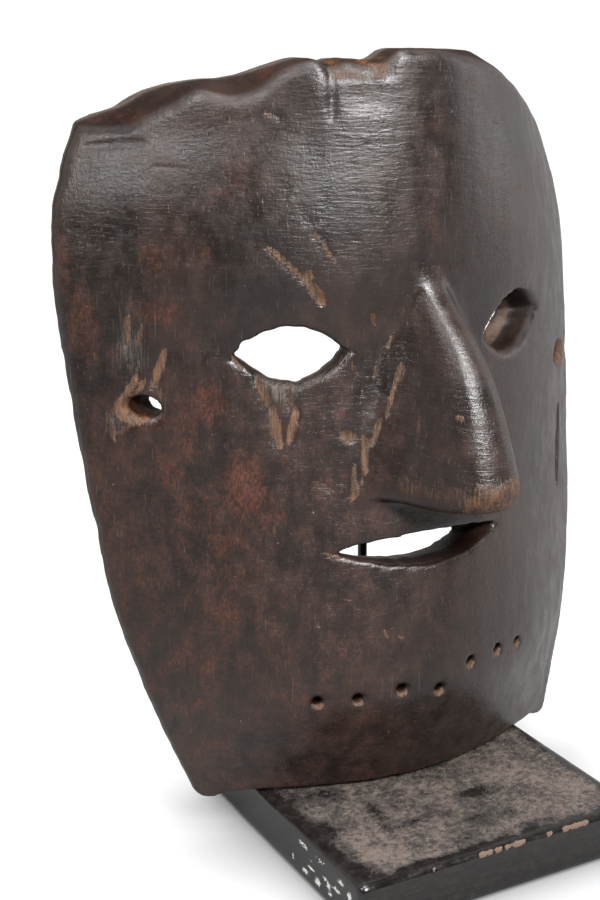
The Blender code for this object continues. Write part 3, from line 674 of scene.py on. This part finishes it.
def old_wood():
    """Dark, hand-polished patina over red-brown ground, worn to bare wood where it was cut."""
    f = Finish("old_dark_wood")
    broad = f.lumps(30, 38, detail=4)
    patch = f.lumps(6, 9, detail=5, roughness=0.65, shift=3.1)
    fibre = f.lumps(0.6, 8, detail=4, roughness=0.6)
    coarse_fibre = f.lumps(1.5, 16, detail=3, shift=7.3)
    wrinkle = f.lumps(5.0, 1.1, detail=4, roughness=0.65, turn=(0, 0.10, 0), warp=1.0, shift=6.1)
    chatter = f.lumps(12, 2.0, detail=3, roughness=0.55, turn=(0, -0.08, 0), warp=1.2, shift=1.7)
    stipple = f.lumps(0.7, 1.5, detail=3, roughness=0.6, shift=5.0)
    dents = f.lumps(2.6, 3.4, detail=2, shift=9.0)
    scratch_a = f.lumps(0.5, 30, detail=1, turn=(0, 0.55, 0), shift=2.0)
    scratch_b = f.lumps(0.6, 26, detail=1, turn=(0, -0.9, 0.4), shift=4.0)

    tone = f.ramp(f.sum((broad, 0.46), (patch, 0.34), (fibre, 0.08), (wrinkle, 0.12)), 0.36, 0.66)
    colour = f.mix(tone, (0.0045, 0.0021, 0.0014), (0.0165, 0.0074, 0.0048))
    # Grey film colour: partly dust, partly painted sheen on the right side and the forehead.
    haze_and_painted_sheen = f.times(f.layer("haze_and_painted_sheen"), f.ramp(f.sum((patch, 0.6), (chatter, 0.4)), 0.3, 0.7))
    colour = f.mix(f.times(haze_and_painted_sheen, 0.4), colour, (0.050, 0.040, 0.036))

    red_edge = f.sum(f.layer("red"), (patch, 1.2), (coarse_fibre, 0.3), (wrinkle, 0.6),
                     (stipple, 0.5), -1.40)
    red = f.ramp(red_edge, 0.0, 0.9)
    ground = f.mix(f.ramp(stipple, 0.35, 0.65), (0.0180, 0.0050, 0.0027),
                   (0.0780, 0.0195, 0.0078))
    colour = f.mix(f.times(red, 0.7), colour, ground)
    marks = f.sum(f.ramp(scratch_a, 0.70, 0.76), f.ramp(scratch_b, 0.70, 0.76))
    colour = f.mix(f.times(marks, 0.30), colour, (0.080, 0.055, 0.042))

    grey = f.ramp(f.sum(f.layer("splinter"), (fibre, 0.9), -0.5), 0.15, 0.8)
    weathered = f.mix(f.ramp(fibre, 0.35, 0.65), (0.014, 0.010, 0.008), (0.100, 0.078, 0.062))
    colour = f.mix(f.times(grey, 0.6), colour, weathered)
    bare_edge = f.sum(f.layer("bare"), (fibre, 0.5), (stipple, 0.3), -0.42)
    bare = f.ramp(bare_edge, 0.22, 0.75)
    raw = f.mix(f.ramp(f.sum((fibre, 0.6), (coarse_fibre, 0.4)), 0.38, 0.62),
                (0.024, 0.0100, 0.0042), (0.112, 0.049, 0.019))
    colour = f.mix(f.times(bare, 0.8), colour, raw)

    behind = f.ramp(f.layer("face"), 0.55, 0.25)
    inside = f.mix(f.ramp(f.sum((coarse_fibre, 0.5), (patch, 0.5)), 0.35, 0.65),
                   (0.030, 0.017, 0.010), (0.085, 0.050, 0.031))
    stained = f.mix(f.ramp(broad, 0.35, 0.62), inside, (0.022, 0.013, 0.009))
    colour = f.mix(behind, colour, stained)

    spots = f.spots(4.0, 0.07)
    rare = f.lumps(9, detail=1, shift=12.0)
    dust = f.times(spots, f.ramp(rare, 0.64, 0.70))
    colour = f.mix(f.times(dust, 0.7), colour, (0.30, 0.22, 0.16))

    rough = f.sum(f.ramp(patch, 0.3, 0.7, 0.27, 0.42), (bare, 0.30), (grey, 0.25), (haze_and_painted_sheen, 0.08),
                  (behind, 0.28), (f.layer("sunk"), 0.30), (f.layer("ripple"), 0.05))
    f.set(Base_Color=colour, Roughness=rough,
          Specular_IOR_Level=f.ramp(f.layer("sunk"), 0.0, 1.0, 0.5, 0.08))
    ripple = f.times(chatter, f.layer("ripple"))
    f.bump((dents, 0.12), (patch, 0.16), (ripple, 0.22), (fibre, 0.03), (wrinkle, 0.13),
           (stipple, 0.09), (f.times(marks, -1.0), 0.05), (f.times(bare, fibre), 0.30),
           (f.times(grey, fibre), 0.55))
    return f.material


# ---- Stand --------------------------------------------------------------------------------

EDGE_RADIUS = 2.2
SHARP_ANGLE = 40.0
OUT_OF_PLANE = (0.0, 1.0, 0.013)   # close to +Y, and parallel to no wire
EDGE_CHIPS = [(-8.6, 0.9), (-6.2, 0.6), (-3.0, 0.7), (0.6, 0.6), (4.6, 0.9), (6.8, 0.5),
              (-27, 0.4), (17, 0.5), (24, 0.8), (28, 0.9), (31.5, 0.7), (44, 0.4)]
PAINT_FLECKS = [((-41, -4.4), (3.0, 1.2)), ((-38, -8.6), (3.2, 1.3)), ((-33, -9.8), (1.8, 1.6)),
                ((-28, -4.2), (5.0, 0.9)), ((-16.5, -4.0), (5.5, 1.0)), ((-26, -12.3), (3.2, 1.7)),
                ((-18, -12.8), (3.0, 1.2)), ((-34, -12.6), (2.0, 1.0)), ((-9.8, -11.5), (1.0, 1.6)),
                ((-31, -8.4), (2.4, 0.8)), ((-21, -7.8), (3.0, 0.6)), ((-10.5, -6.6), (1.6, 0.6)),
                ((-46, -6.5), (2.0, 2.4)), ((-22, -9.8), (3.0, 0.6))]
SMUDGES = [((-25.5, -15), (1.8, 8), 0.8), ((-27.5, -24), (2.0, 5), 0.6),
           ((9, -20.5), (6, 2.6), 0.95), ((14, -18), (3, 2), 0.5), ((-46.5, -17), (4, 7), 0.9),
           ((-18, -27), (6, 1.6), 0.5), ((-5, -13), (3.5, 4), 0.5), ((2, -35), (7, 4), 0.45),
           ((12, -37), (5, 3), 0.4), ((-9, -42), (4, 5), 0.4), ((-47, -43), (4, 6), 0.7),
           ((18, -46), (9, 2.5), 0.6), ((-36, 2), (9, 5), 0.6), ((30, 20), (8, 5), 0.4),
           ((-12, 24), (7, 9), 0.45)]


def block_field(x, y, z):
    """A square block with rounded upper edges, a bore for the bush and chipped lacquer."""
    half = (BLOCK_HIGH[0] - BLOCK_LOW[0]) / 2
    reach_x = np.abs(x) - (half - EDGE_RADIUS) + 0.10 * noise(y / 18, z / 9, 41)
    reach_y = np.abs(y) - (half - EDGE_RADIUS) + 0.10 * noise(x / 18, z / 9, 42)
    reach_z = z - (BASE_TOP - EDGE_RADIUS) + 0.06 * noise(x / 14, y / 14, 43)
    outside = np.sqrt(np.maximum(reach_x, 0) ** 2 + np.maximum(reach_y, 0) ** 2
                      + np.maximum(reach_z, 0) ** 2)
    block = outside + np.minimum(np.maximum(np.maximum(reach_x, reach_y), reach_z), 0)
    block = larger(block - EDGE_RADIUS, BLOCK_LOW[2] - z, 0.6)
    for at_x, size in EDGE_CHIPS:
        chip = np.sqrt(((x - at_x) / 1.8) ** 2 + (y + half) ** 2 + (z - BASE_TOP + 0.6) ** 2)
        block = larger(block, size - chip, 0.4)
    random = np.random.RandomState(51)
    for _ in range(26):
        along, side, size = random.uniform(-half, half), random.randint(3), random.uniform(0.4, 1.0)
        place = [(half, along), (along, half), (-half, along)][side]
        chip = np.sqrt((x - place[0]) ** 2 + (y - place[1]) ** 2 + (z - BASE_TOP + 0.5) ** 2)
        block = larger(block, size - chip, 0.4)
    bush_low, bush_high = box_mm("post_bush")
    middle = (bush_low + bush_high) / 2
    bore = np.hypot(x - middle[0], y - middle[1]) - (bush_high[0] - bush_low[0]) / 2 - GAP
    return larger(block, -np.maximum(bore, bush_low[2] - GAP - z), 0.3)


def display_block(finish):
    margin = 2.0
    axes = [np.arange(low - margin, high + margin + BLOCK_STEP, BLOCK_STEP)
            for low, high in zip(BLOCK_LOW, BLOCK_HIGH)]
    field = block_field(axes[0][:, None, None], axes[1][None, :, None], axes[2][None, None, :])
    points, quads = surface_net(field)
    points, quads = biggest_part(points, quads)
    points = points * BLOCK_STEP + [axis[0] for axis in axes]
    x, y, z = points.T
    block = make_object("display_block", points, quads.tolist(), finish)

    half = (BLOCK_HIGH[0] - BLOCK_LOW[0]) / 2
    edge = half - np.maximum(np.abs(x), np.abs(y))
    wander = 1.6 * noise(x / 7, y / 7, 52) + 0.8 * noise(x / 2.5, y / 2.5, 53)
    dust = ease(edge + wander, 2.6, 6.5) * ease(z, BASE_TOP - 1.0, BASE_TOP - 0.3)
    dust = dust * (1 - 0.55 * ease(x, -41, -50))
    for centre, axes_half, share in SMUDGES:
        dust = dust * (1 - share * blob(x, y, centre, axes_half))
    chipped = np.zeros_like(x)
    for at_x, size in EDGE_CHIPS:
        away = np.sqrt(((x - at_x) / 1.6) ** 2 + (y + half) ** 2 + (z - BASE_TOP + 0.6) ** 2)
        chipped = np.maximum(chipped, ease(away, size + 0.8, size))
    paint_left = np.zeros_like(x)
    for (at_y, at_z), axes_half in PAINT_FLECKS:
        paint_left = np.maximum(paint_left, blob(y, z, (at_y, BASE_TOP + at_z), axes_half))
    paint(block, dust=dust, chipped=chipped, flecks=paint_left * ease(x, -half + 2, -half + 1))
    return block


def turn_outward(piece):
    outward = bmesh.new()
    outward.from_mesh(piece.data)
    bmesh.ops.recalc_face_normals(outward, faces=outward.faces)
    outward.to_mesh(piece.data)
    outward.free()
    piece.data.shade_smooth()


def directions(path):
    """Unit direction of travel at each point of a path."""
    ahead = np.gradient(path, axis=0)
    return ahead / np.linalg.norm(ahead, axis=1)[:, None]


def ring_piece(name, path, ahead, radii, finish, sides, closed):
    """Rings square to the directions ahead, which stay out of the Y axis, joined in order.

    The last ring joins the first when closed; otherwise both ends are capped.
    """
    path = np.asarray(path, float)
    first = np.cross(ahead, OUT_OF_PLANE)
    first = first / np.linalg.norm(first, axis=1)[:, None]
    second = np.cross(ahead, first)
    angle = 2 * np.pi * np.arange(sides) / sides
    spokes = (np.cos(angle)[None, :, None] * first[:, None]
              + np.sin(angle)[None, :, None] * second[:, None])
    rings = path[:, None] + np.asarray(radii)[:, None, None] * spokes
    count = len(rings)
    faces = []
    for i in range(count if closed else count - 1):
        for k in range(sides):
            j, m = (i + 1) % count, (k + 1) % sides
            faces.append((i * sides + k, i * sides + m, j * sides + m, j * sides + k))
    if not closed:
        faces += [tuple(range(sides))[::-1], tuple((count - 1) * sides + k for k in range(sides))]
    piece = make_object(name, rings.reshape(-1, 3), faces, finish)
    turn_outward(piece)
    piece.data.set_sharp_from_angle(angle=math.radians(SHARP_ANGLE))
    return piece


def swept(name, path, radii, finish, sides):
    """A solid bar along a path, capped at both ends."""
    return ring_piece(name, path, directions(path), radii, finish, sides, False)


def swept_loop(name, path, radii, finish, sides=40):
    """A tube: the path goes out along its outside and comes back through its bore."""
    out = directions(path[:len(path) // 2])
    return ring_piece(name, path, np.concatenate([out, out[::-1]]), radii, finish, sides, True)


def crossbar_line(x):
    """Centre line behind the mask's hollow face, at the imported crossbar's height."""
    low, high = box_mm("crossbar")
    z = (low[2] + high[2]) / 2
    x = np.asarray(x, float)
    y = plate_y(x, z - BASE_TOP, WALL, -RIM_BAND) + CROSSBAR_STANDOFF
    return np.stack([x, y + 0 * x, z + 0 * x], -1)


def rounded_ends(places, start, end, radius, soft):
    """A bar's radius along it: full, with both ends rounded off over the length soft."""
    inside = np.minimum(places - start, end - places)
    t = np.clip(1 - inside / soft, 0, 1)
    return radius - soft * (1 - np.sqrt(1 - t * t * 0.96))


def crossbar_wire(finish):
    low, high = box_mm("crossbar")
    span = min(-low[0], high[0]) - 0.2
    places = np.concatenate([[-span, -span + 0.3, -span + 0.8, -span + 1.4],
                             np.linspace(-span + 2, span - 2, 49),
                             [span - 1.4, span - 0.8, span - 0.3, span]])
    radii = rounded_ends(places, -span, span, WIRE_RADIUS, 1.4)
    return swept("crossbar_wire", crossbar_line(places), radii, finish, 28)


def post_wire(finish):
    """Upright wire, bent forward at the top and brazed to the crossbar's back."""
    low, high = box_mm("post_rod")
    bush = (box_mm("post_bush")[0] + box_mm("post_bush")[1]) / 2
    tip = crossbar_line(0.0) + (0, WIRE_RADIUS, 0)
    bend = np.array([0, bush[1], POST_BEND_START])
    corner = np.array([0, bush[1], tip[2]])
    path = [(0, bush[1], low[2] + step) for step in (0, 0.25, 0.6, 1.0)]
    path += [(0, bush[1], height) for height in np.linspace(low[2] + 6, bend[2] - 4, 30)]
    for t in np.linspace(0, 1, 25):
        path.append((1 - t) ** 2 * bend + 2 * t * (1 - t) * corner + t ** 2 * tip)
    path = np.array(path)
    radii = np.full(len(path), WIRE_RADIUS)
    radii[:3] -= (0.5, 0.25, 0.08)
    to_tip = np.linalg.norm(path - tip, axis=1)
    radii += 0.9 * ease(to_tip, 4.2, 0.6)
    radii += 0.04 * noise(path[:, 2] / 11, path[:, 1] / 11, 61)
    return swept("post_wire", path, radii, finish, 28)


def pad(name, node, finish):
    """Rubber sleeve on the crossbar's end, with a rolled lip at each end."""
    low, high = box_mm(node)
    start, end = low[0] + 0.15, high[0] - 0.15
    outer = (high[2] - low[2]) / 2
    inner = WIRE_RADIUS + GAP
    places = np.linspace(start, end, 33)
    lip = 0.35
    bulge = 0.22 * np.exp(-((places - start - 1.2) / 0.7) ** 2)
    bulge = bulge + 0.22 * np.exp(-((end - 1.2 - places) / 0.7) ** 2) - 0.24
    outside = rounded_ends(places, start, end, outer, lip) + bulge
    forward = crossbar_line(places)
    path = np.concatenate([forward, forward[::-1]])
    radii = np.concatenate([outside, np.full(len(places), inner)])
    return swept_loop(name, path, radii, finish)


def bush_sleeve(finish):
    low, high = box_mm("post_bush")
    outer = (high[0] - low[0]) / 2
    inner = WIRE_RADIUS + GAP
    chamfer = 0.3
    heights = [low[2], low[2] + chamfer, high[2] - chamfer, high[2]]
    outside = [outer - chamfer, outer, outer, outer - chamfer]
    inside = [inner + chamfer, inner, inner, inner + chamfer]
    middle = (low + high) / 2
    path = np.array([(middle[0], middle[1], z) for z in heights + heights[::-1]])
    return swept_loop("bush_sleeve", path, np.array(outside + inside[::-1]), finish, 56)


def felt_sheet(finish):
    """Thin felt whose cut outline wanders a little and whose faces are slightly uneven."""
    low, high = box_mm("base_felt")
    n = 72
    u = np.linspace(-1, 1, n + 1)
    a, b = np.meshgrid(u, u, indexing="ij")
    half = high[0] - 0.25
    x = a * (half + 0.25 * noise(b * 9, a * 0 + 0.5, 71) * np.abs(a) ** 6)
    y = b * (half + 0.25 * noise(a * 9, b * 0 + 4.5, 72) * np.abs(b) ** 6)
    lump = 0.07 * noise(x / 1.7, y / 1.7, 73)
    rim = np.maximum(np.abs(a), np.abs(b)) ** 24
    upper = high[2] - 0.08 + lump - 0.18 * rim
    lower = low[2] + 0.08 + np.maximum(lump, -0.07) + 0.18 * rim
    points = np.concatenate([np.stack([x, y, upper], -1).reshape(-1, 3),
                             np.stack([x, y, lower], -1).reshape(-1, 3)])
    row, total = n + 1, (n + 1) ** 2
    faces = []
    for i in range(n):
        for j in range(n):
            k = i * row + j
            faces.append((k, k + row, k + row + 1, k + 1))
            faces.append((total + k, total + k + 1, total + k + row + 1, total + k + row))
    border = [i * row for i in range(n)] + [n * row + j for j in range(n)]
    border += [i * row + n for i in range(n, 0, -1)] + list(range(n, 0, -1))
    for k, m in zip(border, border[1:] + border[:1]):
        faces.append((k, total + k, total + m, m))
    piece = make_object("felt_sheet", points, faces, finish)
    turn_outward(piece)
    return piece


def lacquer():
    """Black gloss, dusty on top, chipped to tan wood on the front edge, paint flecks at left."""
    f = Finish("black_lacquer")
    fine = f.lumps(0.7, detail=3, roughness=0.7)
    grain = f.lumps(2.2, detail=4, roughness=0.65, shift=2.0)
    broad = f.lumps(12, detail=3, shift=5.0)
    streak = f.lumps(5, 0.9, detail=3, shift=8.0)
    dust = f.ramp(f.sum(f.layer("dust"), (grain, 0.8), (fine, 1.1), (broad, 1.3), -1.85), 0.0, 0.9)
    chipped = f.ramp(f.sum(f.layer("chipped"), (fine, 0.6), -0.3), 0.35, 0.6)
    flecks = f.ramp(f.sum((f.layer("flecks"), 0.8), (fine, 0.9), (grain, 0.6), (streak, 0.5), -1.0),
                    0.50, 0.58)
    film = f.ramp(f.sum((grain, 0.5), (streak, 0.5)), 0.35, 0.7)
    colour = f.mix(f.times(film, 0.5), (0.005, 0.0042, 0.0040), (0.022, 0.0175, 0.0155))
    earth = f.mix(f.ramp(f.sum((grain, 0.45), (fine, 0.35), (broad, 0.2)), 0.38, 0.62),
                  (0.013, 0.0095, 0.008), (0.092, 0.069, 0.056))
    colour = f.mix(dust, colour, earth)
    colour = f.mix(f.times(chipped, 0.8), colour, (0.095, 0.052, 0.030))
    colour = f.mix(flecks, colour, (0.72, 0.70, 0.67))
    rough = f.sum(f.ramp(film, 0.0, 1.0, 0.13, 0.30), (dust, 0.55), (chipped, 0.4), (flecks, 0.3))
    f.set(Base_Color=colour, Roughness=rough)
    f.bump((grain, 0.05), (f.times(dust, fine), 0.35), (f.times(dust, grain), 0.3),
           (chipped, -0.12), (flecks, 0.06))
    return f.material


def felt():
    f = Finish("black_felt")
    fuzz = f.lumps(0.35, detail=4, roughness=0.7)
    clump = f.lumps(3.5, detail=3, shift=4.0)
    f.set(Base_Color=f.mix(f.sum((fuzz, 0.6), (clump, 0.4)), (0.008, 0.008, 0.009),
                           (0.045, 0.043, 0.042)),
          Roughness=0.97, Sheen_Weight=0.6, Sheen_Roughness=0.5)
    f.bump((fuzz, 0.25), (clump, 0.15))
    return f.material


def brass():
    f = Finish("brass")
    tarnish = f.lumps(1.6, detail=5, roughness=0.65)
    turned = f.lumps(30, 0.12, detail=2, shift=3.0)
    f.set(Base_Color=f.mix(f.ramp(tarnish, 0.35, 0.65), (0.30, 0.19, 0.075), (0.62, 0.44, 0.19)),
          Metallic=1.0, Roughness=f.sum(f.ramp(tarnish, 0.3, 0.7, 0.42, 0.24), (turned, 0.1)))
    f.bump((turned, 0.02), (tarnish, 0.02))
    return f.material


def steel():
    """Wire blackened by heat, with brown bloom and drawn lines along it."""
    f = Finish("blackened_steel")
    bloom = f.lumps(4, 7, detail=4, roughness=0.6)
    drawn = f.lumps(0.25, 14, detail=2, shift=6.0)
    rust = f.ramp(f.sum((bloom, 0.8), (drawn, 0.2)), 0.56, 0.70)
    colour = f.mix(f.ramp(drawn, 0.3, 0.7), (0.020, 0.020, 0.022), (0.070, 0.068, 0.068))
    f.set(Base_Color=f.mix(f.times(rust, 0.7), colour, (0.110, 0.050, 0.026)),
          Metallic=f.ramp(rust, 0.0, 1.0, 0.85, 0.25), Roughness=f.sum(0.34, (rust, 0.3),
                                                                      (drawn, 0.1)))
    f.bump((drawn, 0.02), (bloom, 0.03), (rust, 0.03))
    return f.material


def rubber():
    f = Finish("black_rubber")
    skin = f.lumps(0.5, detail=3)
    scuff = f.ramp(f.lumps(2.4, detail=4, shift=3.0), 0.52, 0.68)
    f.set(Base_Color=f.mix(f.times(scuff, 0.6), (0.014, 0.014, 0.014), (0.065, 0.062, 0.060)),
          Roughness=f.sum(0.58, (skin, 0.15), (scuff, 0.12)))
    f.bump((skin, 0.03), (scuff, 0.03))
    return f.material


# ---- Studio -------------------------------------------------------------------------------

# Metres, watts and degrees
LIGHTS_AIM = (0.0, 0.02, 0.14)
LIGHTS = [
    ("key", (-0.12, -1.12, 1.10), (0.50, 0.50), 60),
    ("left_box", (-1.00, -0.15, 1.05), (0.40, 0.40), 9),
    ("overhead", (-0.08, -0.10, 1.40), (0.6, 0.6), 16),
    ("right_fill", (1.3, -0.2, 0.6), (0.7, 1.0), 5),
]
FLOOR_HALF = 6.0
FLOOR_SHADE = 0.08            # the floor's own colour; the rest of its brightness is glow
CONTACT_REACH = 0.045         # how far the painted contact shadow darkens the floor's glow beside the block
CONTACT_CONTRAST = 1.6
WHITE_TO_CAMERA = 1.05
FLOOR_LIGHT = 0.65
BACKDROP_LIGHT = 0.6
BACKDROP_TURN = (-0.40, 0.5, 0.05, 1.0)   # from and to in Y; brightness at the front and back
CAMERA_PLACE = (-0.25897, -0.39358, 0.27044)
CAMERA_TILT = 73.70
CAMERA_TURN = -28.49
CAMERA_LENS = 60.5            # millimetres, on a 36 mm sensor


def set_range(node, values):
    """A Map Range node's four limits."""
    for socket, value in zip(list(node.inputs)[1:5], values):
        socket.default_value = value


def area_light(name, place, size, power):
    data = bpy.data.lights.new(name, "AREA")
    data.shape = "RECTANGLE"
    data.size, data.size_y = size
    data.energy = power
    lamp = bpy.data.objects.new(name, data)
    lamp.location = place
    toward = Vector(LIGHTS_AIM) - Vector(place)
    lamp.rotation_euler = toward.to_track_quat("-Z", "Y").to_euler()
    bpy.context.scene.collection.objects.link(lamp)


def camera_boost(tree, share):
    """White where the camera looks at the backdrop itself, share in what it lights or mirrors."""
    path = tree.nodes.new("ShaderNodeLightPath")
    level = tree.nodes.new("ShaderNodeMapRange")
    set_range(level, (0.0, 1.0, share, WHITE_TO_CAMERA))
    tree.links.new(path.outputs["Is Camera Ray"], level.inputs[0])
    return level.outputs[0]


def pale_floor():
    """A plain floor that glows white, with a painted contact shadow: its glow is less right beside
    the block.
    """
    mesh = bpy.data.meshes.new("floor")
    corners = [(x * FLOOR_HALF, y * FLOOR_HALF, 0) for x, y in ((-1, -1), (1, -1), (1, 1), (-1, 1))]
    mesh.from_pydata(corners, [], [(0, 1, 2, 3)])
    pale = bpy.data.materials.new("pale_floor")
    pale.use_nodes = True
    tree = pale.node_tree
    shader = tree.nodes["Principled BSDF"]
    # Painted contact shadow: ambient occlusion dims the floor's glow near the block.
    shade = tree.nodes.new("ShaderNodeAmbientOcclusion")
    shade.inputs["Distance"].default_value = CONTACT_REACH
    glow = tree.nodes.new("ShaderNodeMath")
    glow.operation = "POWER"
    glow.inputs[1].default_value = CONTACT_CONTRAST
    tree.links.new(shade.outputs["AO"], glow.inputs[0])
    both = tree.nodes.new("ShaderNodeMath")
    both.operation = "MULTIPLY"
    tree.links.new(glow.outputs[0], both.inputs[0])
    tree.links.new(camera_boost(tree, FLOOR_LIGHT), both.inputs[1])
    tree.links.new(both.outputs[0], shader.inputs["Emission Strength"])
    shader.inputs["Emission Color"].default_value = (1, 1, 1, 1)
    shader.inputs["Base Color"].default_value = (FLOOR_SHADE, FLOOR_SHADE, FLOOR_SHADE, 1)
    shader.inputs["Roughness"].default_value = 0.9
    shader.inputs["Specular IOR Level"].default_value = 0.0
    mesh.materials.append(pale)
    floor = bpy.data.objects.new("floor", mesh)
    bpy.context.scene.collection.objects.link(floor)


def backdrop():
    """White behind the mask, dark in front of it, so that the patina stays dark."""
    world = bpy.data.worlds.new("studio")
    world.use_nodes = True
    tree = world.node_tree
    sky = tree.nodes["Background"]
    tree.links.new(camera_boost(tree, BACKDROP_LIGHT), sky.inputs["Strength"])
    where = tree.nodes.new("ShaderNodeTexCoord")
    parts = tree.nodes.new("ShaderNodeSeparateXYZ")
    tree.links.new(where.outputs["Generated"], parts.inputs[0])
    level = tree.nodes.new("ShaderNodeMapRange")
    level.interpolation_type = "SMOOTHSTEP"
    set_range(level, BACKDROP_TURN)
    tree.links.new(parts.outputs["Y"], level.inputs[0])
    tree.links.new(level.outputs[0], sky.inputs["Color"])
    bpy.context.scene.world = world


def camera():
    data = bpy.data.cameras.new("camera")
    data.lens = CAMERA_LENS
    data.sensor_width = 36.0
    data.clip_start = 0.01
    viewer = bpy.data.objects.new("camera", data)
    viewer.location = CAMERA_PLACE
    viewer.rotation_euler = (math.radians(CAMERA_TILT), 0, math.radians(CAMERA_TURN))
    bpy.context.scene.collection.objects.link(viewer)
    bpy.context.scene.camera = viewer
    bpy.context.scene.view_settings.view_transform = "Standard"


# ---- Everything together ------------------------------------------------------------------

def place(piece, body, node, slot):
    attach(piece, body)
    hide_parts(node)


def dress():
    wire, sleeve = steel(), rubber()
    place(carved_mask(old_wood()), "mask", "mask_shell", "old_dark_wood")
    place(display_block(lacquer()), "base", "base_block", "black_lacquer")
    place(felt_sheet(felt()), "base", "base_felt", "black_felt")
    place(bush_sleeve(brass()), "base", "post_bush", "brass")
    place(post_wire(wire), "armature", "post_rod", "blackened_steel")
    place(crossbar_wire(wire), "armature", "crossbar", "blackened_steel")
    place(pad("left_pad", "pad_left", sleeve), "armature", "pad_left", "black_rubber")
    place(pad("right_pad", "pad_right", sleeve), "armature", "pad_right", "black_rubber")


dress()
pale_floor()
backdrop()
for light in LIGHTS:
    area_light(*light)
camera()
